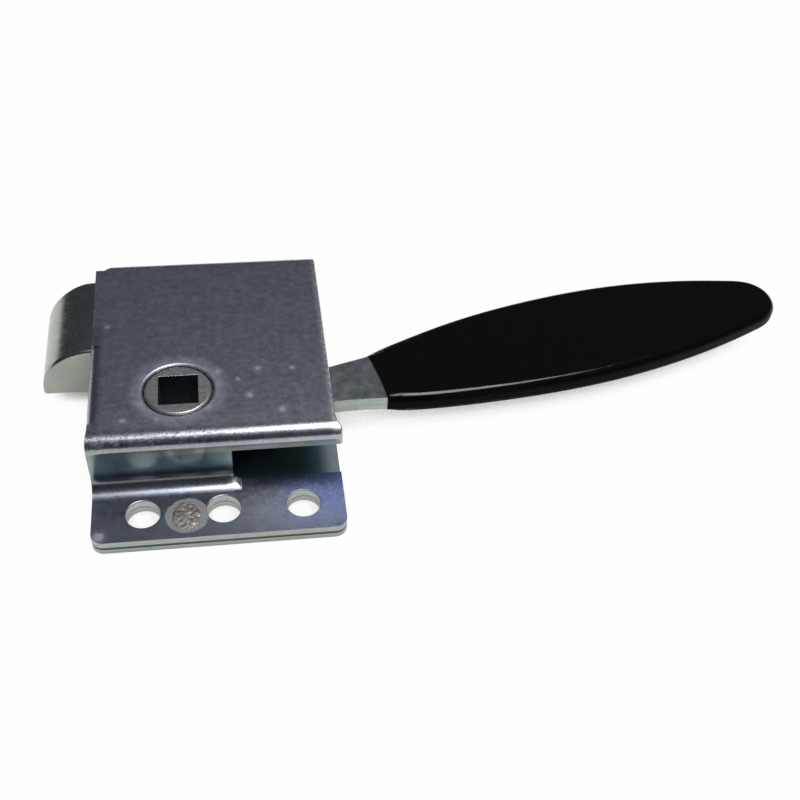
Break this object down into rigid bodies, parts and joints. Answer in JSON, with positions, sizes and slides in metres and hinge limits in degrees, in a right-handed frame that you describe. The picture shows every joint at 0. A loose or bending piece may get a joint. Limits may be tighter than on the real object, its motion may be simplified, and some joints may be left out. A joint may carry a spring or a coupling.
{
  "type": "slam latch with hand lever",
  "caption": "Surface-mounted slam latch: folded zinc case on a bolting flange, sprung quarter-round bolt, square-drive hub and a dipped hand lever that draws the bolt back.",
  "frame": {"origin": "on the hub's axis, in the mounting face under the base plate", "axes": "+Z out of the mounting face along the hub's axis, +X towards the lever's grip, +Y away from the bolting flange"},
  "size_m": [0.236, 0.0956, 0.024],
  "materials": {
    "zinc_cover": "zinc plated, slightly mottled",
    "zinc_base": "zinc plated",
    "weld": "rough, heat browned",
    "plain_steel": "machined",
    "bolt_steel": "plated casting, satin",
    "spring_wire": "drawn wire",
    "hub_steel": "sintered, satin",
    "zinc_lever": "zinc plated, sheared edges",
    "black_vinyl": "glossy dipped coat"
  },
  "bodies": {
    "case": {"cover": "zinc_cover", "base_plate": "zinc_base", "flange_weld": "weld", "bolt_tray": "zinc_base", "tray_rivets": "plain_steel", "spring_rod": "plain_steel", "spring_post": "plain_steel"},
    "lever": {"hub": "hub_steel", "hub_washer": "plain_steel", "hub_spacer": "plain_steel", "cam_plate": "zinc_base", "lever_blade": "zinc_lever", "grip": "black_vinyl", "lever_spring": "spring_wire"},
    "bolt": {"latch_bolt": "bolt_steel", "stop_pin": "plain_steel", "bolt_spring": "spring_wire"}
  },
  "joints": [
    {"name": "lever_turn", "type": "hinge", "parent": "case", "child": "lever", "pos_m": [0, 0, 0], "axis": [0, 0, -1], "range_deg": [0, 36.2], "stiffness_Nm_per_rad": 0.4, "springref_deg": -28.65, "deforming": ["lever_spring"]},
    {"name": "bolt_slide", "type": "slide", "parent": "case", "child": "bolt", "axis": [1, 0, 0], "range_m": [0, 0.0165], "stiffness_N_per_m": 500, "springref_m": -0.01, "deforming": ["bolt_spring"]}
  ],
  "couplings": [
    {"joint": "bolt_slide", "follows": "lever_turn", "m_per_rad": 0.02605}
  ]
}
